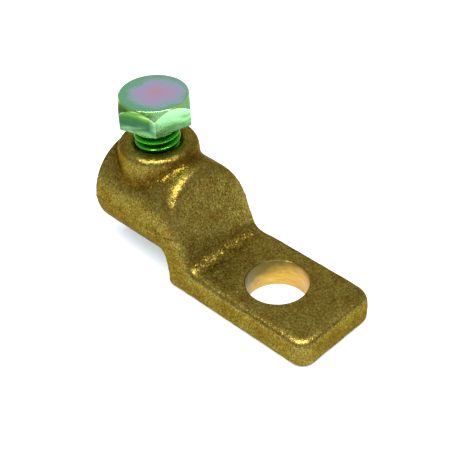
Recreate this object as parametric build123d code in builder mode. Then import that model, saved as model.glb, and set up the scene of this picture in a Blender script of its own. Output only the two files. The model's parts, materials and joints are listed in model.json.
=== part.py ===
"""Screw-clamp cable lug for a welding earth lead: a cast brass body and its hex-head clamping screw.

Millimetres, +Z up. X runs from the cable mouth (-X) to the tongue's tip (+X). The origin is the centre of
the stud hole, in the plane of the tongue's flat underside.
"""
from build123d import *
import math
import os

# Driving dimensions: the cast body
BARREL_RADIUS = 10.75       # outside of the round cable socket
BARREL_HEIGHT = 13.0        # socket axis above the tongue's underside
SCREW_X = -33.0             # axis of the boss and the screw
MOUTH_X = -42.5             # open end of the socket
SOCKET_RADIUS = 8.0         # bore for the bare cable
SOCKET_END_X = -24.6        # floor of the blind bore
BOSS_RADIUS = 8.4           # round boss that carries the screw's thread, at its top
BOSS_DRAFT = 2.5            # degrees
BOSS_TOP = 26.1
TONGUE_WIDTH = 20.8
TONGUE_THICKNESS = 6.6
TONGUE_END_X = 16.2
STUD_HOLE_RADIUS = 6.45     # clearance for a half-inch stud
WALL_FOOT_X = -14.9         # where the sloped front wall meets the tongue's top
WALL_LEAN = 21.8            # degrees from upright
WALL_CLEARANCE = 0.4        # how far the barrel stops short of the wall's top edge
WEB_START_X = -30.0         # the web's flanks leave the barrel here
WEB_START_Z = 10.4
WEB_REAR_X = -22.3          # top of the web's upright rear face
WEB_REAR_Z = 9.2
WEB_FOOT_X = -21.3          # foot of that face

# Driving dimensions: the 3/8-16 UNC screw, threaded up to its head
THREAD_RADIUS = 9.525 / 2
THREAD_PITCH = 25.4 / 16
THREAD_DEPTH = 0.6134 * THREAD_PITCH
SCREW_LENGTH = 19.05
POINT_CHAMFER = 1.1
HEAD_ACROSS_FLATS = 14.29
HEAD_HEIGHT = 5.5
HEAD_UNDERSIDE = 31.5       # height at which the half-driven screw stands
HEAD_TOP_RADIUS = 6.95      # flat top inside the corner chamfer
HEAD_CHAMFER_ANGLE = 55.0
HEAD_TURN = -41.9           # direction of one corner of the hexagon
RUNNING_CLEARANCE = 0.05    # between the screw's crests and its hole

# Casting radii
ROOT_RADIUS = 2.6           # hollow between the front wall and the tongue
REAR_RADIUS = 3.0           # hollow where the web's rear face meets its flanks
EDGE_RADIUS = 1.4
TIP_CORNER_RADIUS = 2.9     # plan corners of the tongue's tip
BOSS_RIM_RADIUS = 1.8
MOUTH_RADIUS = 0.4
UNDERSIDE_RADIUS = 0.9
LEAD_IN = 0.6               # countersink of the screw's hole

os.makedirs("parts", exist_ok=True)

# The web and tongue share one cross-section: an arch on the barrel's own radius, with side walls that
# leave it at a tangent and taper in to the tongue's width at the underside.
half_width = TONGUE_WIDTH / 2
foot_distance = math.hypot(half_width, BARREL_HEIGHT)
foot_angle = math.atan2(-BARREL_HEIGHT, half_width)
tangent_angle = foot_angle + math.acos(BARREL_RADIUS / foot_distance)
tangent_y = BARREL_RADIUS * math.cos(tangent_angle)
tangent_z = BARREL_HEIGHT + BARREL_RADIUS * math.sin(tangent_angle)

barrel_top = BARREL_HEIGHT + BARREL_RADIUS
wall_slope = math.tan(math.radians(WALL_LEAN))
wall_top_x = WALL_FOOT_X - (barrel_top - TONGUE_THICKNESS) * wall_slope
boss_height = BOSS_TOP - BARREL_HEIGHT
boss_foot_radius = BOSS_RADIUS + boss_height * math.tan(math.radians(BOSS_DRAFT))
screw_hole_radius = THREAD_RADIUS + RUNNING_CLEARANCE

head_top = HEAD_UNDERSIDE + HEAD_HEIGHT
head_cone_radius = HEAD_TOP_RADIUS + HEAD_HEIGHT / math.tan(math.radians(HEAD_CHAMFER_ANGLE))
screw_tip = HEAD_UNDERSIDE - SCREW_LENGTH
thread_root_radius = THREAD_RADIUS - THREAD_DEPTH
screw_axis = Axis((SCREW_X, 0, 0), (0, 0, 1))
screw_section = Plane(origin=(SCREW_X, 0, 0), x_dir=(1, 0, 0), z_dir=(0, -1, 0))
tip_plane = Plane.XY.offset(screw_tip).shift_origin((SCREW_X, 0, screw_tip))

with BuildPart() as lug_body:
    # Web and tongue: their side profile, then their cross-section cut out of it
    with BuildSketch(Plane.XZ) as side_profile:
        with BuildLine():
            Polyline(
                (WEB_FOOT_X, 0),
                (TONGUE_END_X, 0),
                (TONGUE_END_X, TONGUE_THICKNESS),
                (WALL_FOOT_X, TONGUE_THICKNESS),
                (wall_top_x, barrel_top),
                (WEB_START_X, barrel_top),
                (WEB_START_X, WEB_START_Z),
                (WEB_REAR_X, WEB_REAR_Z),
                close=True,
            )
        make_face()
        root_corner = side_profile.vertices().sort_by_distance((WALL_FOOT_X, TONGUE_THICKNESS))[0]
        fillet(root_corner, radius=ROOT_RADIUS)
        rear_corner = side_profile.vertices().sort_by_distance((WEB_REAR_X, WEB_REAR_Z))[0]
        fillet(rear_corner, radius=REAR_RADIUS)
    extrude(amount=BARREL_RADIUS, both=True)

    with BuildSketch(Plane.YZ):
        with BuildLine():
            Line((-half_width, 0), (half_width, 0))
            Line((half_width, 0), (tangent_y, tangent_z))
            ThreePointArc((tangent_y, tangent_z), (0, barrel_top), (-tangent_y, tangent_z))
            Line((-tangent_y, tangent_z), (-half_width, 0))
        make_face()
    extrude(amount=-MOUTH_X, both=True, mode=Mode.INTERSECT)

    tip_edges = lug_body.faces().sort_by(Axis.X)[-1].edges()
    fillet(tip_edges.filter_by(Axis.Y, reverse=True), radius=TIP_CORNER_RADIUS)

    # Barrel: the whole round as far as the front wall's top edge, its lower half on into the web
    with BuildSketch(Plane.YZ.offset(MOUTH_X)):
        with Locations(Location((0, BARREL_HEIGHT), -90)):
            Circle(BARREL_RADIUS)
    extrude(amount=wall_top_x - WALL_CLEARANCE - MOUTH_X)
    with BuildSketch(Plane.YZ.offset(MOUTH_X)):
        with Locations(Location((0, BARREL_HEIGHT), -90)):
            Circle(BARREL_RADIUS)
        with Locations((0, BARREL_HEIGHT)):
            Rectangle(2 * BARREL_RADIUS, BARREL_RADIUS, align=(Align.CENTER, Align.MIN), mode=Mode.SUBTRACT)
    extrude(amount=WEB_FOOT_X + REAR_RADIUS - MOUTH_X)

    # One rounded edge runs all the way round the front wall and the tongue's top
    sloped_faces = lug_body.faces().filter_by(lambda face: 0.1 < face.normal_at().Z < 0.9)
    front_wall = sloped_faces.filter_by(GeomType.PLANE).sort_by(Axis.X)[-1]
    fillet(front_wall.edges().sort_by(Axis.Z)[-1], radius=EDGE_RADIUS)
    fillet(lug_body.faces().sort_by(Axis.Z)[0].edges(), radius=UNDERSIDE_RADIUS)

    # Rounded open end of the barrel, then the boss with its rounded rim
    fillet(lug_body.faces().sort_by(Axis.X)[0].edges(), radius=MOUTH_RADIUS)
    with BuildSketch(Plane.XY.offset(BARREL_HEIGHT)):
        with Locations((SCREW_X, 0)):
            Circle(boss_foot_radius)
    extrude(amount=boss_height, taper=BOSS_DRAFT)
    fillet(lug_body.faces().sort_by(Axis.Z)[-1].edges(), radius=BOSS_RIM_RADIUS)

    # Blind socket bore
    with BuildSketch(Plane.YZ.offset(MOUTH_X)):
        with Locations((0, BARREL_HEIGHT)):
            Circle(SOCKET_RADIUS)
    extrude(amount=SOCKET_END_X - MOUTH_X, mode=Mode.SUBTRACT)

    # The screw's hole, countersunk at the boss's top
    with BuildSketch(screw_section):
        with BuildLine():
            Polyline(
                (0, BARREL_HEIGHT),
                (screw_hole_radius, BARREL_HEIGHT),
                (screw_hole_radius, BOSS_TOP - LEAD_IN),
                (screw_hole_radius + LEAD_IN, BOSS_TOP),
                (0, BOSS_TOP),
                close=True,
            )
        make_face()
    revolve(axis=screw_axis, mode=Mode.SUBTRACT)

    # Stud hole, straight through the tongue
    with BuildSketch(Plane.XY):
        Circle(STUD_HOLE_RADIUS)
    extrude(amount=TONGUE_THICKNESS, mode=Mode.SUBTRACT)

lug_body.part.label = "lug_body"
export_step(lug_body.part, "parts/lug_body.step")

with BuildPart() as clamp_screw:
    # Shank: a core at the thread's root, wound with one V-shaped ridge
    with BuildSketch(tip_plane):
        Circle(thread_root_radius)
    extrude(amount=SCREW_LENGTH)
    with BuildLine(tip_plane) as thread_path:
        Helix(pitch=THREAD_PITCH, height=SCREW_LENGTH, radius=thread_root_radius)
    with BuildSketch(Plane(origin=thread_path.line @ 0, x_dir=(1, 0, 0), z_dir=thread_path.line % 0)):
        with BuildLine():
            Polyline(
                (-0.1, -0.45 * THREAD_PITCH),
                (THREAD_DEPTH, -0.07 * THREAD_PITCH),
                (THREAD_DEPTH, 0.07 * THREAD_PITCH),
                (-0.1, 0.45 * THREAD_PITCH),
                close=True,
            )
        make_face()
    sweep(path=thread_path.line, is_frenet=True)

    # Head
    with BuildSketch(tip_plane.offset(SCREW_LENGTH)):
        RegularPolygon(radius=HEAD_ACROSS_FLATS / 2, side_count=6, major_radius=False, rotation=HEAD_TURN)
    extrude(amount=HEAD_HEIGHT)

    # Turned outline: the chamfered point, and the cone that cuts the head's corners back at the top
    with BuildSketch(screw_section):
        with BuildLine():
            Polyline(
                (0, screw_tip),
                (THREAD_RADIUS - POINT_CHAMFER, screw_tip),
                (head_cone_radius, screw_tip + head_cone_radius - THREAD_RADIUS + POINT_CHAMFER),
                (head_cone_radius, HEAD_UNDERSIDE),
                (HEAD_TOP_RADIUS, head_top),
                (0, head_top),
                close=True,
            )
        make_face()
    revolve(axis=screw_axis, mode=Mode.INTERSECT)

clamp_screw.part.label = "clamp_screw"
export_step(clamp_screw.part, "parts/clamp_screw.step")
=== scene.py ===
"""Looks of the ground clamp: a sand-cast brass cable lug with a zinc-plated clamping screw."""
import json
import math

import bmesh
import bpy
import numpy as np
from mathutils import Matrix, Vector


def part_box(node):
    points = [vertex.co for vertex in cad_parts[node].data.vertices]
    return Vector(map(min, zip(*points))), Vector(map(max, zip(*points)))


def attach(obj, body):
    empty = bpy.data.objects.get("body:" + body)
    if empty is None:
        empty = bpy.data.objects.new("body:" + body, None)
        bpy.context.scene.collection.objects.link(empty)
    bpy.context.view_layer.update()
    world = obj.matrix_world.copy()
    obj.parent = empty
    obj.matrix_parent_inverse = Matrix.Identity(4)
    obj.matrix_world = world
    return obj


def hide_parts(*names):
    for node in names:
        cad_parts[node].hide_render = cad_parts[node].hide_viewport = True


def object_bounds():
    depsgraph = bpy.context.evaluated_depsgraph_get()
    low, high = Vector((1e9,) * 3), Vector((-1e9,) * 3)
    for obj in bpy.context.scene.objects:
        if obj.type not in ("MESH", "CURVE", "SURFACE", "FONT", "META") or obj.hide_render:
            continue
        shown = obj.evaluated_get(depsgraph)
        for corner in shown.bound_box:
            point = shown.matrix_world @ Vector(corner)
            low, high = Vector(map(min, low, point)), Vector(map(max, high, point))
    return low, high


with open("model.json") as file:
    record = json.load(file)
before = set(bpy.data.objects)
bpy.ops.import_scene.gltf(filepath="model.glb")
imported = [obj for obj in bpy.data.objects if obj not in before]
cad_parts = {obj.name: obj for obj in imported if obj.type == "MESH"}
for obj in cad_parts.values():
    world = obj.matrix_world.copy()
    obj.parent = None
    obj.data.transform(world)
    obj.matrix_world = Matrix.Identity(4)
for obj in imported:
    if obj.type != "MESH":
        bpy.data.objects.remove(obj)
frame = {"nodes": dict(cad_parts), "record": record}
cad_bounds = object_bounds()


# ---------------------------------------------------------------------------------------------------------
# Camera: a short telephoto a hand's length from the lug, looking down on the screw's side of the tongue,
# held a little out of level. It aims close to the middle of the lug's box.
MM = 0.001
CAMERA_AZIMUTH = math.radians(46.39)
CAMERA_ELEVATION = math.radians(39.04)
CAMERA_ROLL = math.radians(-2.84)
CAMERA_DISTANCE = 209.8 * MM
AIM_RIGHT = -0.6 * MM
AIM_UP = -3.7 * MM
FOCAL_LENGTH = 83.95
SENSOR_WIDTH = 36.0

across = Vector((math.cos(CAMERA_AZIMUTH), math.sin(CAMERA_AZIMUTH), 0))
backward = Vector((
    math.sin(CAMERA_AZIMUTH) * math.cos(CAMERA_ELEVATION),
    -math.cos(CAMERA_AZIMUTH) * math.cos(CAMERA_ELEVATION),
    math.sin(CAMERA_ELEVATION),
))
upward = backward.cross(across)
camera_data = bpy.data.cameras.new("camera")
camera_data.lens = FOCAL_LENGTH
camera_data.sensor_width = SENSOR_WIDTH
camera_data.clip_start = 10 * MM
camera = bpy.data.objects.new("camera", camera_data)
bpy.context.collection.objects.link(camera)
box_middle = (Vector(cad_bounds[0]) + Vector(cad_bounds[1])) / 2
facing = Matrix((across, upward, backward)).transposed() @ Matrix.Rotation(CAMERA_ROLL, 3, "Z")
eye = box_middle + across * AIM_RIGHT + upward * AIM_UP + backward * CAMERA_DISTANCE
camera.matrix_world = Matrix.Translation(eye) @ facing.to_4x4()
bpy.context.scene.camera = camera


# ---------------------------------------------------------------------------------------------------------
# Floor and light: a sheet of white opal plastic, faintly lit from beneath, under one long overhead
# softbox in a grey room with a pale wall behind the lug. The glowing sheet keeps the shadows thin and
# lights the lug's flanks from below.
def linear(hex_colour):
    """An sRGB hex colour as linear RGBA."""
    channels = [int(hex_colour[i:i + 2], 16) / 255 for i in (1, 3, 5)]
    return [c / 12.92 if c <= 0.04045 else ((c + 0.055) / 1.055) ** 2.4 for c in channels] + [1.0]


def add_node(tree, kind, inputs=None, stops=(), **settings):
    """Adds one node, sets its properties, and fills or links its inputs by name or number.

    A colour ramp takes its stops as (position, hex colour) pairs.
    """
    node = tree.nodes.new(kind)
    for name, value in settings.items():
        setattr(node, name, value)
    for key, value in (inputs or {}).items():
        if isinstance(value, bpy.types.NodeSocket):
            tree.links.new(value, node.inputs[key])
        else:
            node.inputs[key].default_value = value
    marks = node.color_ramp.elements if stops else ()
    while len(marks) < len(stops):
        marks.new(1.0)
    for mark, (position, colour) in zip(marks, stops):
        mark.position = position
        mark.color = linear(colour)
    return node


def new_material(name):
    """An empty node material, its tree and its output node."""
    material = bpy.data.materials.new(name)
    material.use_nodes = True
    material.node_tree.nodes.clear()
    output = material.node_tree.nodes.new("ShaderNodeOutputMaterial")
    return material, material.node_tree, output


FLOOR_SIZE = 3.0                # metres, as the lights are; their power is in watts
FLOOR_GAP = 0.03 * MM           # air between the sheet and the lug's flat underside
SHEET_GRAIN_DEPTH = 0.05 * MM
SOFTBOX_LENGTH = 0.46
SOFTBOX_WIDTH = 0.17
SOFTBOX_DISTANCE = 0.45
SOFTBOX_DIRECTION = Vector((0.21, -0.23, 0.95))
SOFTBOX_POWER = 3.3
PALE_WALL_SIZE = 0.8
PALE_WALL_DISTANCE = 1.2
PALE_WALL_DIRECTION = Vector((-0.56, 0.54, 0.63))
PALE_WALL_POWER = 0.6
ROOM_GREY = 0.46
SHEET_GLOW = 0.51

sheet, sheet_tree, sheet_output = new_material("opal_sheet")
sheet_grain = add_node(sheet_tree, "ShaderNodeTexNoise", {"Scale": 900.0, "Detail": 3.0})
sheet_bump = add_node(sheet_tree, "ShaderNodeBump", {
    "Strength": 0.1, "Distance": SHEET_GRAIN_DEPTH, "Height": sheet_grain.outputs["Fac"],
})
sheet_shader = add_node(sheet_tree, "ShaderNodeBsdfPrincipled", {
    "Base Color": linear("#d9dbdc"), "Roughness": 0.9, "Specular IOR Level": 0.1,
    "Emission Color": linear("#eaf4ff"), "Emission Strength": SHEET_GLOW,
    "Normal": sheet_bump.outputs["Normal"],
})
sheet_tree.links.new(sheet_shader.outputs["BSDF"], sheet_output.inputs["Surface"])

floor_mesh = bpy.data.meshes.new("floor")
floor_form = bmesh.new()
bmesh.ops.create_grid(floor_form, x_segments=1, y_segments=1, size=FLOOR_SIZE / 2)
bmesh.ops.translate(floor_form, verts=floor_form.verts, vec=(0, 0, cad_bounds[0][2] - FLOOR_GAP))
floor_form.to_mesh(floor_mesh)
floor_form.free()
floor_mesh.materials.append(sheet)
floor = bpy.data.objects.new("floor", floor_mesh)
bpy.context.collection.objects.link(floor)

softbox_data = bpy.data.lights.new("softbox", "AREA")
softbox_data.shape = "RECTANGLE"
softbox_data.size = SOFTBOX_LENGTH
softbox_data.size_y = SOFTBOX_WIDTH
softbox_data.energy = SOFTBOX_POWER
softbox = bpy.data.objects.new("softbox", softbox_data)
bpy.context.collection.objects.link(softbox)
lamp_z = SOFTBOX_DIRECTION.normalized()
lamp_x = (across - lamp_z * across.dot(lamp_z)).normalized()
lamp_turn = Matrix((lamp_x, lamp_z.cross(lamp_x), lamp_z)).transposed()
softbox.matrix_world = Matrix.Translation(box_middle + lamp_z * SOFTBOX_DISTANCE) @ lamp_turn.to_4x4()

wall_data = bpy.data.lights.new("pale_wall", "AREA")
wall_data.size = PALE_WALL_SIZE
wall_data.energy = PALE_WALL_POWER
pale_wall = bpy.data.objects.new("pale_wall", wall_data)
bpy.context.collection.objects.link(pale_wall)
pale_wall.location = box_middle + PALE_WALL_DIRECTION.normalized() * PALE_WALL_DISTANCE
pale_wall.rotation_euler = PALE_WALL_DIRECTION.to_track_quat("Z", "Y").to_euler()

room = bpy.data.worlds.new("room")
room.use_nodes = True
room.node_tree.nodes["Background"].inputs["Color"].default_value = (ROOM_GREY, ROOM_GREY, ROOM_GREY, 1)
bpy.context.scene.world = room
bpy.context.scene.view_settings.view_transform = "Standard"


# ---------------------------------------------------------------------------------------------------------
# Lug body: one sand casting in brass. The blank comes out of the mould with soft corners and a grainy skin;
# its cable socket, screw hole and stud hole are then cut clean through that skin.
body = frame["nodes"]["lug_body"]
body_low, body_high = (Vector(corner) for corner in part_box("lug_body"))
screw_low, screw_high = (Vector(corner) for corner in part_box("clamp_screw"))
mounts = {mount["name"]: mount for mount in frame["record"]["mounts"]}
stud_hole_radius = mounts["stud_hole"]["dims"]["r_mm"] * MM
tongue_thickness = mounts["stud_hole"]["dims"]["length_mm"] * MM
socket_radius = mounts["cable_socket"]["dims"]["r_mm"] * MM
socket_depth = mounts["cable_socket"]["dims"]["length_mm"] * MM
barrel_axis_z = mounts["cable_socket"]["pos_m"][2]
barrel_radius = (body_high.y - body_low.y) / 2
mouth_x = body_low.x
boss_top = body_high.z
screw_x = (screw_low.x + screw_high.x) / 2

SCREW_HOLE_RADIUS = 4.81 * MM
LEAD_IN = 0.6 * MM
BOSS_FOOT_RADIUS = 8.8 * MM
WALL_FOOT_X = -14.9 * MM        # the sloped front wall: where it meets the tongue, and its lean
WALL_LEAN = math.radians(21.8)
WEB_REAR_X = -22.0 * MM
TONGUE_HALF_WIDTH = 10.4 * MM
TIP_CORNER = 1.2 * MM
FOOT_SPOTS = 90                 # spots along the boss's foot, and along each arc, where it is filleted
ARC_SPOTS = 60
SKIN_VOXEL = 0.3 * MM
PLUG_MARGIN = 0.3 * MM
MOUTH_STOCK = 1.5 * MM          # extra length cast at the mouth, sawn off square afterwards
MOUTH_STOCK_DROP = 0.15 * MM
MOUTH_CHAMFER = 0.45 * MM
PAINTED_SHADE_RISE = 1.2 * MM           # painted shade: the boss's flank is darkened brown, centred this far above its foot
PAINTED_SHADE_REACH = 1.7 * MM
PARTING_RIDGE = 0.2 * MM
PARTING_WIDTH = 0.3 * MM


def lathe(form, profile, centre, axis, columns=96):
    """Adds a closed turned solid to a bmesh: profile is (radius, height along axis) from end to end."""
    axis = Vector(axis).normalized()
    side = axis.orthogonal().normalized()
    other = axis.cross(side)
    rings = []
    for radius, height in profile:
        spot = Vector(centre) + axis * height
        ring = []
        for i in range(columns):
            angle = 2 * math.pi * i / columns
            ring.append(form.verts.new(spot + (side * math.cos(angle) + other * math.sin(angle)) * radius))
        rings.append(ring)
    for lower, upper in zip(rings, rings[1:]):
        for i in range(columns):
            j = (i + 1) % columns
            form.faces.new((lower[i], lower[j], upper[j], upper[i]))
    form.faces.new(rings[0][::-1])
    form.faces.new(rings[-1])


def new_piece(name, form):
    """Makes a named object from a bmesh."""
    mesh = bpy.data.meshes.new(name)
    form.to_mesh(mesh)
    form.free()
    piece = bpy.data.objects.new(name, mesh)
    bpy.context.collection.objects.link(piece)
    return piece


def applied(piece):
    """Replaces a piece's mesh with what its modifiers make of it, and removes them."""
    graph = bpy.context.evaluated_depsgraph_get()
    mesh = bpy.data.meshes.new_from_object(piece.evaluated_get(graph))
    piece.modifiers.clear()
    piece.data = mesh
    return piece


# The blank: the CAD shape with its three holes plugged, then remeshed as one skin
blank_form = bmesh.new()
blank_form.from_mesh(body.data)
bmesh.ops.remove_doubles(blank_form, verts=blank_form.verts, dist=1e-7)
up, along = (0, 0, 1), (1, 0, 0)
stud_plug = stud_hole_radius + PLUG_MARGIN
screw_plug = SCREW_HOLE_RADIUS + PLUG_MARGIN
socket_plug = socket_radius + PLUG_MARGIN
lathe(blank_form, [(stud_plug, 0), (stud_plug, tongue_thickness)], (0, 0, 0), up)
lathe(blank_form, [(screw_plug, barrel_axis_z), (screw_plug, boss_top - LEAD_IN)], (screw_x, 0, 0), up)
lathe(blank_form, [(socket_plug, 0), (socket_plug, socket_depth + PLUG_MARGIN)],
      (mouth_x, 0, barrel_axis_z), along)
stock_radius = barrel_radius - MOUTH_STOCK_DROP
lathe(blank_form, [(stock_radius, -MOUTH_STOCK), (stock_radius, MOUTH_STOCK)],
      (mouth_x, 0, barrel_axis_z), along)
casting = new_piece("lug_casting", blank_form)
remesh = casting.modifiers.new("one_skin", "REMESH")
remesh.mode = "VOXEL"
remesh.voxel_size = SKIN_VOXEL
applied(casting)

# Where the pattern was filleted, the skin is smoothed more: the boss's foot, the shoulder, the web and the
# tongue's corners
turns = np.linspace(0, 2 * math.pi, FOOT_SPOTS)
boss_foot = np.stack([
    screw_x + BOSS_FOOT_RADIUS * np.cos(turns),
    BOSS_FOOT_RADIUS * np.sin(turns),
    barrel_axis_z + np.sqrt(barrel_radius ** 2 - (BOSS_FOOT_RADIUS * np.sin(turns)) ** 2),
], axis=1)
fan = np.linspace(-math.radians(100), math.radians(100), ARC_SPOTS)
shoulder_z = barrel_axis_z + barrel_radius * np.cos(fan)
shoulder = np.stack([
    WALL_FOOT_X - (shoulder_z - tongue_thickness) * math.tan(WALL_LEAN),
    barrel_radius * np.sin(fan),
    shoulder_z,
], axis=1)
web_fan = np.linspace(-math.radians(80), math.radians(80), ARC_SPOTS)
web_rear = np.stack([
    np.full(ARC_SPOTS, WEB_REAR_X),
    barrel_radius * np.sin(web_fan),
    barrel_axis_z - barrel_radius * np.cos(web_fan),
], axis=1)

root_corners = np.array([
    (WALL_FOOT_X, side * TONGUE_HALF_WIDTH, tongue_thickness)
    for side in (-1, 1)
])
tip_corners = np.array([
    (body_high.x - TIP_CORNER, side * (TONGUE_HALF_WIDTH - TIP_CORNER), tongue_thickness)
    for side in (-1, 1)
])

points = np.empty(len(casting.data.vertices) * 3)
casting.data.vertices.foreach_get("co", points)
points = points.reshape(-1, 3)


def nearness(line, reach):
    """How near each point of the casting is to a line of spots: 1 on it, falling off over its reach."""
    gaps = np.full(len(points), 1.0)
    for spot in line:
        gaps = np.minimum(gaps, np.linalg.norm(points - spot, axis=1))
    return np.exp(-(gaps / reach) ** 2)


softness = np.zeros(len(points))
for line, reach, strength in (
    (boss_foot, 0.9 * MM, 0.1),
    (shoulder, 2.8 * MM, 0.7),
    (web_rear, 2.6 * MM, 1.0),
    (root_corners, 2.2 * MM, 0.9),
    (tip_corners, 2.0 * MM, 0.5),
):
    softness = np.maximum(softness, strength * nearness(line, reach))
casting.data.attributes.new("softness", "FLOAT", "POINT").data.foreach_set("value", softness)
# Painted shade: the boss's flank is darkened brown just above its foot
painted_foot_shade = nearness(boss_foot + np.array((0, 0, PAINTED_SHADE_RISE)), PAINTED_SHADE_REACH)
casting.data.attributes.new("foot_shade", "FLOAT", "POINT").data.foreach_set("value", painted_foot_shade)

# Sand-cast brass: metal under a thin olive-brown skin of oxide, pitted by the sand it was poured in. Each
# pit is a few tenths of a millimetre, so the skin glints grain by grain; the oxide lies in soft clouds.
PIT_SIZE = 0.28 * MM
FLECK_SIZE = 0.42 * MM
CLOUD_SIZE = 3.2 * MM
CRYSTAL_SIZE = 0.34 * MM
PIT_DEPTH = 0.045 * MM
FLECK_DEPTH = 0.06 * MM
TILT_IN_RECESSES = 0.42         # how far the grain's faces lean, raw in the hollows and worn on the edges
TILT_WHERE_WORN = 0.10
BULGE_REACH = 0.22 * MM          # how far an edge stands out of its softened self, where the wear and painted-light ramp is full
cast_brass, tree, output = new_material("sand_cast_brass")
where = add_node(tree, "ShaderNodeTexCoord").outputs["Object"]
pits = add_node(tree, "ShaderNodeTexNoise", {
    "Vector": where, "Scale": 1 / PIT_SIZE, "Detail": 2.0, "Roughness": 0.6,
}).outputs["Fac"]
flecks = add_node(tree, "ShaderNodeTexNoise", {
    "Vector": where, "Scale": 1 / FLECK_SIZE, "Detail": 2.0, "Roughness": 0.7, "Distortion": 0.4,
}).outputs["Fac"]
clouds = add_node(tree, "ShaderNodeTexNoise", {
    "Vector": where, "Scale": 1 / CLOUD_SIZE, "Detail": 4.0, "Roughness": 0.6,
}).outputs["Fac"]
pit_tone = add_node(tree, "ShaderNodeValToRGB", {"Fac": pits}, stops=[
    (0.38, "#897a3f"), (0.50, "#a39250"), (0.62, "#beae67"),
]).outputs["Color"]
fleck_tone = add_node(tree, "ShaderNodeValToRGB", {"Fac": flecks}, stops=[
    (0.36, "#b8b2a2"), (0.50, "#dcd8ca"), (0.64, "#faf7ee"),
]).outputs["Color"]
cloud_tone = add_node(tree, "ShaderNodeValToRGB", {"Fac": clouds}, stops=[
    (0.36, "#e0d0b0"), (0.52, "#f0f0da"), (0.66, "#fcfff4"),
]).outputs["Color"]
curve = add_node(tree, "ShaderNodeAttribute", attribute_name="bulge").outputs["Fac"]
bulge_share = add_node(tree, "ShaderNodeMapRange", {
    "Value": curve, "From Min": -BULGE_REACH, "From Max": BULGE_REACH,
}).outputs["Result"]
# Edges lighter as worn; shallow hollows darker as painted shade; the deepest hollows (tongue root, boss
# foot) lighter again as a painted highlight
wear_shade_and_glint_tone = add_node(tree, "ShaderNodeValToRGB", {"Fac": bulge_share}, stops=[
    (0.0, "#fff8da"), (0.36, "#e0d8ba"), (0.50, "#ecebe0"), (0.72, "#f8f6ea"), (1.0, "#ffffff"),
]).outputs["Color"]
spotted = add_node(tree, "ShaderNodeMix", {
    "Factor": 1.0, "A": pit_tone, "B": fleck_tone,
}, data_type="RGBA", blend_type="MULTIPLY").outputs["Result"]
oxidised = add_node(tree, "ShaderNodeMix", {
    "Factor": 1.0, "A": spotted, "B": cloud_tone,
}, data_type="RGBA", blend_type="MULTIPLY").outputs["Result"]
worn_and_painted = add_node(tree, "ShaderNodeMix", {
    "Factor": 1.0, "A": oxidised, "B": wear_shade_and_glint_tone,
}, data_type="RGBA", blend_type="MULTIPLY").outputs["Result"]
# painted shade: brown multiplied onto the boss's flank above its foot
foot_shade_share = add_node(tree, "ShaderNodeAttribute", attribute_name="foot_shade").outputs["Fac"]
foot_shade_tone = add_node(tree, "ShaderNodeValToRGB", {"Fac": foot_shade_share}, stops=[
    (0.0, "#ffffff"), (1.0, "#c6b688"),
]).outputs["Color"]
skin_tone = add_node(tree, "ShaderNodeMix", {
    "Factor": 1.0, "A": worn_and_painted, "B": foot_shade_tone,
}, data_type="RGBA", blend_type="MULTIPLY").outputs["Result"]
dullness = add_node(tree, "ShaderNodeMapRange", {
    "Value": pits, "From Min": 0.35, "From Max": 0.65, "To Min": 0.42, "To Max": 0.26,
})
pit_bump = add_node(tree, "ShaderNodeBump", {"Height": pits, "Strength": 0.8, "Distance": PIT_DEPTH})
fleck_bump = add_node(tree, "ShaderNodeBump", {
    "Height": flecks, "Strength": 0.8, "Distance": FLECK_DEPTH, "Normal": pit_bump.outputs["Normal"],
})
crystals = add_node(tree, "ShaderNodeTexVoronoi", {"Vector": where, "Scale": 1 / CRYSTAL_SIZE})
tilts = add_node(tree, "ShaderNodeVectorMath", {0: crystals.outputs["Color"], 1: (0.5, 0.5, 0.5)},
                 operation="SUBTRACT")
tilt_amount = add_node(tree, "ShaderNodeMapRange", {
    "Value": bulge_share, "From Min": 0.30, "From Max": 0.62,
    "To Min": TILT_IN_RECESSES, "To Max": TILT_WHERE_WORN,
})
leant = add_node(tree, "ShaderNodeVectorMath", {
    0: tilts.outputs[0], "Scale": tilt_amount.outputs["Result"],
}, operation="SCALE")
tilted = add_node(tree, "ShaderNodeVectorMath", {0: leant.outputs[0], 1: fleck_bump.outputs["Normal"]},
                  operation="ADD")
crystal_faces = add_node(tree, "ShaderNodeVectorMath", {0: tilted.outputs[0]}, operation="NORMALIZE")
skin_shader = add_node(tree, "ShaderNodeBsdfPrincipled", {
    "Base Color": skin_tone, "Metallic": 0.92, "Roughness": dullness.outputs["Result"],
    "Specular Tint": linear("#b8a878"), "Normal": crystal_faces.outputs[0],
})
tree.links.new(skin_shader.outputs["BSDF"], output.inputs["Surface"])


def geometry_tree(name, inputs):
    """A geometry node tree with named inputs, its input node, and each input's identifier."""
    tree = bpy.data.node_groups.new(name, "GeometryNodeTree")
    tree.interface.new_socket("Geometry", in_out="INPUT", socket_type="NodeSocketGeometry")
    tree.interface.new_socket("Geometry", in_out="OUTPUT", socket_type="NodeSocketGeometry")
    identifiers = {}
    for label, value in inputs.items():
        kind = "NodeSocketInt" if isinstance(value, int) else "NodeSocketFloat"
        identifiers[label] = tree.interface.new_socket(label, in_out="INPUT", socket_type=kind).identifier
    return tree, add_node(tree, "NodeGroupInput"), identifiers


def finish_tree(tree, geometry, material):
    """Ends a geometry tree: real faces, wearing one material."""
    real = add_node(tree, "GeometryNodeRealizeInstances", {"Geometry": geometry})
    worn = add_node(tree, "GeometryNodeSetMaterial", {"Geometry": real.outputs["Geometry"]})
    worn.inputs["Material"].default_value = material
    add_node(tree, "NodeGroupOutput", {"Geometry": worn.outputs["Geometry"]})


def run_tree(piece, tree, identifiers, inputs):
    """Runs a geometry tree on a piece and keeps the result as its mesh."""
    modifier = piece.modifiers.new(tree.name, "NODES")
    modifier.node_group = tree
    for label, value in inputs.items():
        modifier[identifiers[label]] = value
    applied(piece)


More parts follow.
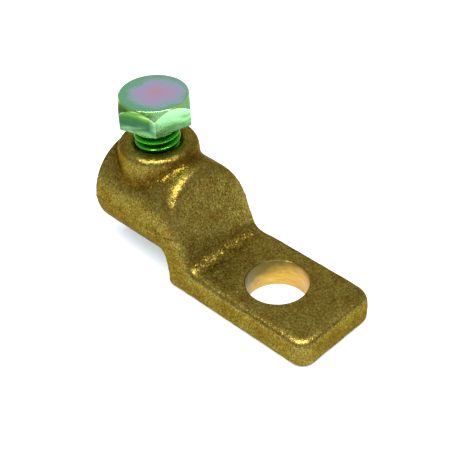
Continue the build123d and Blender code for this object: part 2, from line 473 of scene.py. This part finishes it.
# The skin: softened evenly, softened again where the pattern was filleted, then roughened as sand does it
skin_inputs = {
    "Even passes": 5, "Fillet passes": 40, "Bulge passes": 30,
    "Ripple size": 2.2 * MM, "Ripple depth": 0.05 * MM,
    "Grain size": 0.62 * MM, "Grain depth": 0.028 * MM, "Seed": 4.0,
}
skin, skin_in, skin_identifiers = geometry_tree("sand_cast_skin", skin_inputs)
place = add_node(skin, "GeometryNodeInputPosition").outputs[0]
even = add_node(skin, "GeometryNodeBlurAttribute", {"Iterations": skin_in.outputs["Even passes"]},
                data_type="FLOAT_VECTOR")
skin.links.new(place, even.inputs["Value"])
evened = add_node(skin, "GeometryNodeSetPosition", {
    "Geometry": skin_in.outputs["Geometry"], "Position": even.outputs["Value"],
})
soft = add_node(skin, "GeometryNodeInputNamedAttribute", {"Name": "softness"})
fillet = add_node(skin, "GeometryNodeBlurAttribute", {"Iterations": skin_in.outputs["Fillet passes"]},
                  data_type="FLOAT_VECTOR")
skin.links.new(place, fillet.inputs["Value"])
skin.links.new(soft.outputs["Attribute"], fillet.inputs["Weight"])
filleted = add_node(skin, "GeometryNodeSetPosition", {
    "Geometry": evened.outputs["Geometry"], "Position": fillet.outputs["Value"],
})
reliefs = []
for size, depth in (("Ripple size", "Ripple depth"), ("Grain size", "Grain depth")):
    scale = add_node(skin, "ShaderNodeMath", {0: 1.0, 1: skin_in.outputs[size]}, operation="DIVIDE")
    noise = add_node(skin, "ShaderNodeTexNoise", {
        "Vector": place, "W": skin_in.outputs["Seed"], "Scale": scale.outputs[0], "Detail": 2.0,
    }, noise_dimensions="4D")
    reach = add_node(skin, "ShaderNodeMath", {0: skin_in.outputs[depth], 1: 2.0}, operation="MULTIPLY")
    fall = add_node(skin, "ShaderNodeMath", {0: reach.outputs[0], 1: -1.0}, operation="MULTIPLY")
    reliefs.append(add_node(skin, "ShaderNodeMapRange", {
        "Value": noise.outputs[0], "To Min": fall.outputs[0], "To Max": reach.outputs[0],
    }).outputs["Result"])
relief = add_node(skin, "ShaderNodeMath", {0: reliefs[0], 1: reliefs[1]}, operation="ADD")
# how far each point stands out of its blurred self: drives the wear tone with its painted shade and
# highlight, and the grain's tilt
facing_out = add_node(skin, "GeometryNodeInputNormal")
softened_place = add_node(skin, "GeometryNodeBlurAttribute", {"Iterations": skin_in.outputs["Bulge passes"]},
                     data_type="FLOAT_VECTOR")
skin.links.new(place, softened_place.inputs["Value"])
stand_out = add_node(skin, "ShaderNodeVectorMath", {0: place, 1: softened_place.outputs["Value"]},
                     operation="SUBTRACT")
bulge = add_node(skin, "ShaderNodeVectorMath", {0: stand_out.outputs[0], 1: facing_out.outputs[0]},
                operation="DOT_PRODUCT")
marked = add_node(skin, "GeometryNodeStoreNamedAttribute", {
    "Geometry": filleted.outputs["Geometry"], "Name": "bulge", "Value": bulge.outputs["Value"],
}, data_type="FLOAT", domain="POINT")
offset = add_node(skin, "ShaderNodeVectorMath", {0: facing_out.outputs[0], "Scale": relief.outputs[0]},
                  operation="SCALE")
roughened = add_node(skin, "GeometryNodeSetPosition", {
    "Geometry": marked.outputs["Geometry"], "Offset": offset.outputs[0],
})
finish_tree(skin, roughened.outputs["Geometry"], cast_brass)
run_tree(casting, skin, skin_identifiers, skin_inputs)

# The two halves of the mould left a low ridge along the barrel's sides. The contact face and the boss top
# are linished: no grain stands above them.
points = np.empty(len(casting.data.vertices) * 3)
casting.data.vertices.foreach_get("co", points)
points = points.reshape(-1, 3)
ridge = PARTING_RIDGE * np.exp(-((points[:, 2] - barrel_axis_z) / PARTING_WIDTH) ** 2)
points[:, 1] += ridge * np.sign(points[:, 1]) * (np.abs(points[:, 1]) > 0.9 * barrel_radius)
points[:, 2] = np.clip(points[:, 2], body_low.z, boss_top)
casting.data.vertices.foreach_set("co", points.ravel())

# Cut brass inside the drilled holes: bright orange-gold with fine turning marks, dulled where the drill's
# exit dragged the olive skin inwards. The sawn mouth and the bored socket mirror less.
TURNING_MARK = 0.35 * MM
STAIN_SIZE = 1.6 * MM
MARK_DEPTH = 0.02 * MM
DRAG_DEPTH = 3.4 * MM
DRAG_WANDER = 3.0 * MM
DRAG_START = tongue_thickness + 0.6 * MM
STUD_HOLE_REACH = 10 * MM               # only the stud hole lies this near the origin
DRAG_WAY = (-0.25, -0.22, 0)            # the skin was dragged in deeper on the wall's side
cut_brass, tree, output = new_material("drilled_brass")
where = add_node(tree, "ShaderNodeTexCoord").outputs["Object"]
stretch = add_node(tree, "ShaderNodeMapping", {"Vector": where, "Scale": (0.15, 0.15, 1.0)})
marks = add_node(tree, "ShaderNodeTexNoise", {
    "Vector": stretch.outputs["Vector"], "Scale": 1 / TURNING_MARK, "Detail": 3.0,
}).outputs["Fac"]
stains = add_node(tree, "ShaderNodeTexNoise", {
    "Vector": where, "Scale": 1 / STAIN_SIZE, "Detail": 4.0,
}).outputs["Fac"]
cut_tone = add_node(tree, "ShaderNodeValToRGB", {"Fac": marks}, stops=[
    (0.30, "#b88f38"), (0.70, "#d0aa4c"),
]).outputs["Color"]
height = add_node(tree, "ShaderNodeSeparateXYZ", {"Vector": where}).outputs["Z"]
dragged_way = add_node(tree, "ShaderNodeVectorMath", {0: where, 1: DRAG_WAY}, operation="DOT_PRODUCT")
leaning = add_node(tree, "ShaderNodeMath", {0: dragged_way.outputs["Value"], 1: height}, operation="ADD")
ragged = add_node(tree, "ShaderNodeMath", {0: stains, 1: DRAG_WANDER, 2: leaning.outputs[0]},
                  operation="MULTIPLY_ADD")
stud_distance = add_node(tree, "ShaderNodeVectorMath", {0: where}, operation="LENGTH").outputs["Value"]
in_stud_hole = add_node(tree, "ShaderNodeMapRange", {
    "Value": stud_distance, "From Min": STUD_HOLE_REACH, "From Max": 1.1 * STUD_HOLE_REACH,
    "To Min": 1.0, "To Max": 0.0,
}).outputs["Result"]
drag = add_node(tree, "ShaderNodeMapRange", {
    "Value": ragged.outputs[0], "From Min": DRAG_START - DRAG_DEPTH, "From Max": DRAG_START,
    "To Max": in_stud_hole,
}).outputs["Result"]
mirroring = add_node(tree, "ShaderNodeMapRange", {"Value": in_stud_hole, "To Min": 0.55}).outputs["Result"]
dragged = add_node(tree, "ShaderNodeMix", {
    "Factor": drag, "A": cut_tone, "B": linear("#6a5c28"),
}, data_type="RGBA").outputs["Result"]
cut_bump = add_node(tree, "ShaderNodeBump", {"Height": marks, "Strength": 0.2, "Distance": MARK_DEPTH})
cut_shader = add_node(tree, "ShaderNodeBsdfPrincipled", {
    "Base Color": dragged, "Metallic": mirroring, "Roughness": 0.36, "Normal": cut_bump.outputs["Normal"],
})
tree.links.new(cut_shader.outputs["BSDF"], output.inputs["Surface"])


def drill(piece, name, profile, centre, axis):
    """Cuts a turned shape out of a piece; the cut faces are bare brass."""
    form = bmesh.new()
    lathe(form, profile, centre, axis, columns=144)
    cutter = new_piece(name, form)
    cutter.data.materials.append(cut_brass)
    cut = piece.modifiers.new(name, "BOOLEAN")
    cut.operation = "DIFFERENCE"
    cut.object = cutter
    cut.solver = "EXACT"
    cut.material_mode = "TRANSFER"
    applied(piece)
    bpy.data.objects.remove(cutter)


BROKEN_EDGE = 0.2 * MM
OVERRUN = 1.0 * MM
SHARPEST_BEND = math.radians(42)        # cut edges are sharper than this, cast ones rounder
drill(casting, "stud_drill", [
    (stud_hole_radius + BROKEN_EDGE, -OVERRUN),
    (stud_hole_radius + BROKEN_EDGE / 2, 0),
    (stud_hole_radius, BROKEN_EDGE),
    (stud_hole_radius, tongue_thickness - BROKEN_EDGE),
    (stud_hole_radius + BROKEN_EDGE, tongue_thickness),
    (stud_hole_radius + BROKEN_EDGE, tongue_thickness + OVERRUN),
], (0, 0, 0), up)
drill(casting, "screw_drill", [
    (SCREW_HOLE_RADIUS, barrel_axis_z),
    (SCREW_HOLE_RADIUS, boss_top + OVERRUN),
], (screw_x, 0, 0), up)
drill(casting, "mouth_saw", [
    (2 * barrel_radius, -3 * MOUTH_STOCK),
    (2 * barrel_radius, MOUTH_CHAMFER),
    (barrel_radius, MOUTH_CHAMFER),
    (barrel_radius - MOUTH_CHAMFER, 0),
], (mouth_x, 0, barrel_axis_z), along)
drill(casting, "socket_drill", [
    (socket_radius + 2 * BROKEN_EDGE, -OVERRUN),
    (socket_radius + 2 * BROKEN_EDGE, 0),
    (socket_radius, 2 * BROKEN_EDGE),
    (socket_radius, socket_depth),
], (mouth_x, 0, barrel_axis_z), along)
for polygon in casting.data.polygons:
    polygon.use_smooth = True
casting.data.set_sharp_from_angle(angle=SHARPEST_BEND)

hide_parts("lug_body")
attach(casting, "lug_body")


# ---------------------------------------------------------------------------------------------------------
# Clamping screw: a steel hex-head set screw, 3/8 inch with 16 threads to the inch. Its head is upset cold
# from the bar and chamfered, its thread is rolled, and it is zinc plated and passivated green.
head_top = screw_high.z
screw_tip = screw_low.z
HEAD_HEIGHT = 5.5 * MM
HEAD_ACROSS_FLATS = 14.29 * MM
HEAD_TOP_RADIUS = 6.95 * MM
HEAD_CHAMFER = math.tan(math.radians(55))
HEAD_CORNER = math.radians(-41.9)       # the direction of one corner, from +X
GLINT_RUB_ANGLE = math.radians(7)
CORNER_ROUND = 0.4 * MM
EDGE_ROUND = 0.08 * MM
THREAD_RADIUS = 25.4 * 3 / 16 * MM
THREAD_PITCH = 25.4 / 16 * MM
THREAD_DEPTH = 0.6134 * THREAD_PITCH    # of a Unified thread on a screw
POINT_CHAMFER = 1.1 * MM
THREAD_TURN = 0.292                     # where the crest starts, in turns
ROW_SPACING = 0.1 * MM
FILM_CENTRE = (0.4 * MM, 0.6 * MM, 0)   # the thickest film lies off the head's middle
SHADED_SIDE = (-0.69, -0.72, 0)           # the flats that face this way are darkened: painted shade
TOP_MARGIN = 0.03 * MM                  # the top's film begins this far below the flat of the head,
THREAD_MARGIN = 0.05 * MM               # and the thread's this far below the head's underside
BLOT_SIZE = 3.6 * MM
BLOT_WANDER = 4.5 * MM                  # how far blots, scuffs and streaks shift the film's bands
SCUFF_SIZE = 0.45 * MM
SCUFF_WANDER = 5.0 * MM
SCUFF_DEPTH = 0.02 * MM
STREAK_SIZE = 5.0 * MM
STREAK_WANDER = 5.0 * MM
head_under = head_top - HEAD_HEIGHT

# Zinc plate under a green passivation film thin enough to colour like oil on water: pink where it is
# thickest in the middle of the head, grey-blue round that, green at the rims and deep green in the thread,
# with painted shade darkening the thread's roots.
plate, tree, output = new_material("green_passivated_zinc_plate")
where = add_node(tree, "ShaderNodeTexCoord").outputs["Object"]
centred = add_node(tree, "ShaderNodeMapping", {"Vector": where, "Location": (-screw_x, 0, -head_under)})
split = add_node(tree, "ShaderNodeSeparateXYZ", {"Vector": centred.outputs["Vector"]})
height = split.outputs["Z"]
flat = add_node(tree, "ShaderNodeCombineXYZ", {"X": split.outputs["X"], "Y": split.outputs["Y"]})
radius = add_node(tree, "ShaderNodeVectorMath", {0: flat.outputs["Vector"]},
                  operation="LENGTH").outputs["Value"]
off_centre = add_node(tree, "ShaderNodeVectorMath", {0: flat.outputs["Vector"], 1: FILM_CENTRE},
                      operation="DISTANCE")
film_radius = off_centre.outputs["Value"]
blots = add_node(tree, "ShaderNodeTexNoise", {
    "Vector": where, "Scale": 1 / BLOT_SIZE, "Detail": 2.0, "Roughness": 0.5,
}).outputs["Fac"]
scuffs = add_node(tree, "ShaderNodeTexNoise", {
    "Vector": where, "Scale": 1 / SCUFF_SIZE, "Detail": 4.0, "Roughness": 0.7,
}).outputs["Fac"]
wander = add_node(tree, "ShaderNodeMath", {0: blots, 1: BLOT_WANDER, 2: film_radius},
                  operation="MULTIPLY_ADD")
film_out = add_node(tree, "ShaderNodeMath", {0: scuffs, 1: SCUFF_WANDER, 2: wander.outputs[0]},
                    operation="MULTIPLY_ADD")
film = add_node(tree, "ShaderNodeMapRange", {
    "Value": film_out.outputs[0], "From Min": BLOT_WANDER, "From Max": BLOT_WANDER + HEAD_TOP_RADIUS,
}).outputs["Result"]
top_tone = add_node(tree, "ShaderNodeValToRGB", {"Fac": film}, stops=[
    (0.0, "#cca2b2"), (0.28, "#c2a8ca"), (0.52, "#b6aed0"), (0.72, "#a4b8c8"), (0.86, "#88b8a4"),
    (1.0, "#74b68a"),
]).outputs["Color"]

# The flats: mint at the foot, teal, then yellow-green under the chamfer, the bands wandering with the
# plate's thickness; darker on the flats facing the camera's left, as painted shade
bands = add_node(tree, "ShaderNodeMapping", {"Vector": where, "Scale": (1.0, 1.0, 2.6)})
streaks = add_node(tree, "ShaderNodeTexNoise", {
    "Vector": bands.outputs["Vector"], "Scale": 1 / STREAK_SIZE, "Detail": 2.0, "Roughness": 0.5,
    "Distortion": 0.8,
}).outputs["Fac"]
climb = add_node(tree, "ShaderNodeMath", {0: streaks, 1: STREAK_WANDER, 2: height},
                 operation="MULTIPLY_ADD")
side_film = add_node(tree, "ShaderNodeMapRange", {
    "Value": climb.outputs[0], "From Min": STREAK_WANDER / 2,
    "From Max": STREAK_WANDER / 2 + HEAD_HEIGHT,
}).outputs["Result"]
lit_side_tone = add_node(tree, "ShaderNodeValToRGB", {"Fac": side_film}, stops=[
    (0.0, "#6a9a68"), (0.16, "#5c8c50"), (0.32, "#74aa66"), (0.46, "#98d896"), (0.74, "#acf6b2"),
    (1.0, "#b6f090"),
]).outputs["Color"]
shaded_side_tone = add_node(tree, "ShaderNodeValToRGB", {"Fac": side_film}, stops=[
    (0.0, "#709c6c"), (0.18, "#4c7848"), (0.36, "#305c44"), (0.56, "#3a6c2c"), (0.80, "#6c9c48"),
    (1.0, "#a8de7c"),
]).outputs["Color"]
# painted shade: the flats facing the camera's left take the darker copy of the colours
shade_facing = add_node(tree, "ShaderNodeVectorMath", {0: centred.outputs["Vector"], 1: SHADED_SIDE},
                operation="DOT_PRODUCT").outputs["Value"]
side_shade_share = add_node(tree, "ShaderNodeMapRange", {
    "Value": shade_facing, "From Min": -MM, "From Max": MM,
}).outputs["Result"]
side_tone = add_node(tree, "ShaderNodeMix", {
    "Factor": side_shade_share, "A": lit_side_tone, "B": shaded_side_tone,
}, data_type="RGBA").outputs["Result"]
# painted shade: the thread darkens towards its root, near black in the grooves
thread_rise = add_node(tree, "ShaderNodeMapRange", {
    "Value": radius, "From Min": THREAD_RADIUS - THREAD_DEPTH, "From Max": THREAD_RADIUS,
}).outputs["Result"]
thread_tone_with_groove_shade = add_node(tree, "ShaderNodeValToRGB", {"Fac": thread_rise}, stops=[
    (0.0, "#0f4406"), (0.5, "#268217"), (1.0, "#74d840"),
]).outputs["Color"]
on_top = add_node(tree, "ShaderNodeMath", {0: height, 1: HEAD_HEIGHT - TOP_MARGIN},
                  operation="GREATER_THAN")
in_thread = add_node(tree, "ShaderNodeMath", {0: height, 1: -THREAD_MARGIN}, operation="LESS_THAN")
head_tone = add_node(tree, "ShaderNodeMix", {
    "Factor": on_top.outputs[0], "A": side_tone, "B": top_tone,
}, data_type="RGBA").outputs["Result"]
# bright zinc at the rubbed corners: wear, and a painted highlight for the edge's glints
glint_rub = add_node(tree, "ShaderNodeAttribute", attribute_name="rubbed_glint").outputs["Fac"]
glint_rub_patches = add_node(tree, "ShaderNodeMapRange", {"Value": scuffs, "From Min": 0.46, "From Max": 0.56})
bared_glint = add_node(tree, "ShaderNodeMath", {0: glint_rub, 1: glint_rub_patches.outputs["Result"]}, operation="MULTIPLY")
worn_glint_tone = add_node(tree, "ShaderNodeMix", {
    "Factor": bared_glint.outputs[0], "A": head_tone, "B": linear("#fbfff4"),
}, data_type="RGBA").outputs["Result"]
plate_tone = add_node(tree, "ShaderNodeMix", {
    "Factor": in_thread.outputs[0], "A": worn_glint_tone, "B": thread_tone_with_groove_shade,
}, data_type="RGBA").outputs["Result"]
gloss = add_node(tree, "ShaderNodeMapRange", {
    "Value": scuffs, "From Min": 0.3, "From Max": 0.7, "To Min": 0.16, "To Max": 0.30,
})
plate_bump = add_node(tree, "ShaderNodeBump", {"Height": scuffs, "Strength": 0.3, "Distance": SCUFF_DEPTH})
plate_shader = add_node(tree, "ShaderNodeBsdfPrincipled", {
    "Base Color": plate_tone, "Metallic": 1.0, "Roughness": gloss.outputs["Result"],
    "Normal": plate_bump.outputs["Normal"],
})
tree.links.new(plate_shader.outputs["BSDF"], output.inputs["Surface"])

# Columns round the axis, close together at the six corners, and the hexagon's radius at each of them
steps = [0, 0.35, 0.7, 1.0, 1.25, 2.5, 5, 8, 12, 16, 20, 25]
offsets = np.radians([-30] + [-step for step in steps[:0:-1]] + steps)
column_angles = np.concatenate([HEAD_CORNER + corner * math.pi / 3 + offsets for corner in range(6)])
spread = np.tile(np.abs(offsets), 6)
half_flats = HEAD_ACROSS_FLATS / 2
round_centre = (half_flats - CORNER_ROUND) / math.cos(math.pi / 6)
round_end = math.atan2(CORNER_ROUND / 2, round_centre + CORNER_ROUND * math.cos(math.pi / 6))
round_part = np.sqrt(np.maximum(CORNER_ROUND ** 2 - (round_centre * np.sin(spread)) ** 2, 0))
hexagon = np.where(spread < round_end, round_centre * np.cos(spread) + round_part,
                   half_flats / np.cos(math.pi / 6 - spread))

# Rows from the point to the head's top, as (radius, height), each a number or one value per column
rows = [(THREAD_RADIUS - POINT_CHAMFER, screw_tip)]
for z in np.arange(screw_tip + ROW_SPACING / 2, head_under - 3 * EDGE_ROUND, ROW_SPACING):
    rows.append((min(THREAD_RADIUS, THREAD_RADIUS - POINT_CHAMFER + z - screw_tip), z))
chamfer_foot = head_top - (hexagon - HEAD_TOP_RADIUS) * HEAD_CHAMFER
rows += [
    (THREAD_RADIUS, head_under - 2 * EDGE_ROUND),
    (THREAD_RADIUS + 0.5 * EDGE_ROUND, head_under - 0.5 * EDGE_ROUND),
    (THREAD_RADIUS + 2 * EDGE_ROUND, head_under),
    (hexagon - 4 * EDGE_ROUND, head_under),
    (hexagon - EDGE_ROUND, head_under),
    (hexagon - 0.3 * EDGE_ROUND, head_under + 0.3 * EDGE_ROUND),
    (hexagon, head_under + EDGE_ROUND),
    (hexagon, head_under + 4 * EDGE_ROUND),
]
plain_rise = chamfer_foot - head_under - 8 * EDGE_ROUND
for share in (0.25, 0.5, 0.75):
    rows.append((hexagon, head_under + 4 * EDGE_ROUND + share * plain_rise))
rows += [
    (hexagon, chamfer_foot - 3 * EDGE_ROUND),
    (hexagon, chamfer_foot - 0.6 * EDGE_ROUND),
    (hexagon - 0.15 * EDGE_ROUND, chamfer_foot - 0.1 * EDGE_ROUND),
    (hexagon - 0.6 * EDGE_ROUND, chamfer_foot + 0.7 * EDGE_ROUND),
    (hexagon - 3 * EDGE_ROUND / HEAD_CHAMFER, chamfer_foot + 3 * EDGE_ROUND),
    (HEAD_TOP_RADIUS + 0.5 * EDGE_ROUND, head_top - 0.75 * EDGE_ROUND),
    (HEAD_TOP_RADIUS + 0.1 * EDGE_ROUND, head_top - 0.2 * EDGE_ROUND),
    (HEAD_TOP_RADIUS - 0.6 * EDGE_ROUND, head_top),
    (HEAD_TOP_RADIUS - 4 * EDGE_ROUND, head_top),
]
rows += [(share * HEAD_TOP_RADIUS, head_top) for share in (0.75, 0.55, 0.35, 0.15)]
spots = []
for radii, heights in rows:
    spots.append(np.stack([
        screw_x + radii * np.cos(column_angles),
        radii * np.sin(column_angles),
        heights + 0 * column_angles,
    ], axis=1))
spots = np.concatenate(spots + [[[screw_x, 0, screw_tip]], [[screw_x, 0, head_top]]])
columns = len(column_angles)
last = (len(rows) - 1) * columns
tip_point, top_point = len(spots) - 2, len(spots) - 1
faces = []
for i in range(columns):
    j = (i + 1) % columns
    faces.append((tip_point, j, i))
    faces.append((top_point, last + i, last + j))
    faces += [(start + i, start + j, start + columns + j, start + columns + i)
              for start in range(0, last, columns)]
screw_mesh = bpy.data.meshes.new("hex_set_screw")
screw_mesh.from_pydata(spots.tolist(), [], faces)

# The corners of the chamfer's lower edge are rubbed to bright zinc: wrench wear, and a painted highlight
# for that edge's glints
rim = np.concatenate([np.tile(chamfer_foot, len(rows)), [0, 0]])
corner_gap = np.concatenate([np.tile(spread, len(rows)), [1, 1]])
rubbed_glint = (np.abs(spots[:, 2] - rim) < 1.5 * EDGE_ROUND) * np.clip(1.5 - corner_gap / GLINT_RUB_ANGLE, 0, 1)
screw_mesh.attributes.new("rubbed_glint", "FLOAT", "POINT").data.foreach_set("value", rubbed_glint)
screw = bpy.data.objects.new("hex_set_screw", screw_mesh)
bpy.context.collection.objects.link(screw)

# The thread: a right-hand groove rolled into the plain shank, running out under the head
thread_inputs = {
    "Axis X": screw_x, "Major radius": THREAD_RADIUS, "Pitch": THREAD_PITCH, "Depth": THREAD_DEPTH,
    "Shank top": head_under, "Run-out": 0.5 * THREAD_PITCH, "Crest turn": THREAD_TURN,
}
thread, thread_in, thread_identifiers = geometry_tree("rolled_thread", thread_inputs)
place = add_node(thread, "GeometryNodeInputPosition").outputs[0]
axis_spot = add_node(thread, "ShaderNodeCombineXYZ", {"X": thread_in.outputs["Axis X"]}).outputs[0]
arm = add_node(thread, "ShaderNodeVectorMath", {0: place, 1: axis_spot}, operation="SUBTRACT").outputs[0]
split = add_node(thread, "ShaderNodeSeparateXYZ", {"Vector": arm})
turn = add_node(thread, "ShaderNodeMath", {0: split.outputs["Y"], 1: split.outputs["X"]},
                operation="ARCTAN2")
turn_share = add_node(thread, "ShaderNodeMath", {0: turn.outputs[0], 1: 2 * math.pi}, operation="DIVIDE")
lift = add_node(thread, "ShaderNodeMath", {0: split.outputs["Z"], 1: thread_in.outputs["Pitch"]},
                operation="DIVIDE")
unwound = add_node(thread, "ShaderNodeMath", {0: lift.outputs[0], 1: turn_share.outputs[0]},
                   operation="SUBTRACT")
shifted = add_node(thread, "ShaderNodeMath", {0: unwound.outputs[0], 1: thread_in.outputs["Crest turn"]},
                   operation="ADD")
crest_gap = add_node(thread, "ShaderNodeMath", {0: shifted.outputs[0], 1: 0.5}, operation="PINGPONG")
# the crest's flat is an eighth of the pitch wide and the root's a quarter
groove = add_node(thread, "ShaderNodeMapRange", {
    "Value": crest_gap.outputs[0], "From Min": 1 / 16, "From Max": 3 / 8,
    "To Min": 0.0, "To Max": thread_in.outputs["Depth"],
})
run_out_start = add_node(thread, "ShaderNodeMath", {
    0: thread_in.outputs["Shank top"], 1: thread_in.outputs["Run-out"],
}, operation="SUBTRACT")
fade = add_node(thread, "ShaderNodeMapRange", {
    "Value": split.outputs["Z"], "From Min": run_out_start.outputs[0],
    "From Max": thread_in.outputs["Shank top"], "To Min": 1.0, "To Max": 0.0,
})
pressed = add_node(thread, "ShaderNodeMath", {0: groove.outputs["Result"], 1: fade.outputs["Result"]},
                   operation="MULTIPLY")
wanted = add_node(thread, "ShaderNodeMath", {0: thread_in.outputs["Major radius"], 1: pressed.outputs[0]},
                  operation="SUBTRACT")
flat = add_node(thread, "ShaderNodeCombineXYZ", {"X": split.outputs["X"], "Y": split.outputs["Y"]})
arm_length = add_node(thread, "ShaderNodeVectorMath", {0: flat.outputs[0]},
                      operation="LENGTH").outputs["Value"]
kept = add_node(thread, "ShaderNodeMath", {0: wanted.outputs[0], 1: arm_length}, operation="MINIMUM")
ratio = add_node(thread, "ShaderNodeMath", {0: kept.outputs[0], 1: arm_length}, operation="DIVIDE")
pulled = add_node(thread, "ShaderNodeVectorMath", {0: flat.outputs[0], "Scale": ratio.outputs[0]},
                  operation="SCALE")
change = add_node(thread, "ShaderNodeVectorMath", {0: pulled.outputs[0], 1: flat.outputs[0]},
                  operation="SUBTRACT")
on_shank = add_node(thread, "ShaderNodeMath", {0: split.outputs["Z"], 1: thread_in.outputs["Shank top"]},
                    operation="LESS_THAN")
threaded = add_node(thread, "GeometryNodeSetPosition", {
    "Geometry": thread_in.outputs["Geometry"], "Selection": on_shank.outputs[0],
    "Offset": change.outputs[0],
})
finish_tree(thread, threaded.outputs["Geometry"], plate)
run_tree(screw, thread, thread_identifiers, thread_inputs)
for polygon in screw.data.polygons:
    polygon.use_smooth = True

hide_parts("clamp_screw")
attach(screw, "clamp_screw")
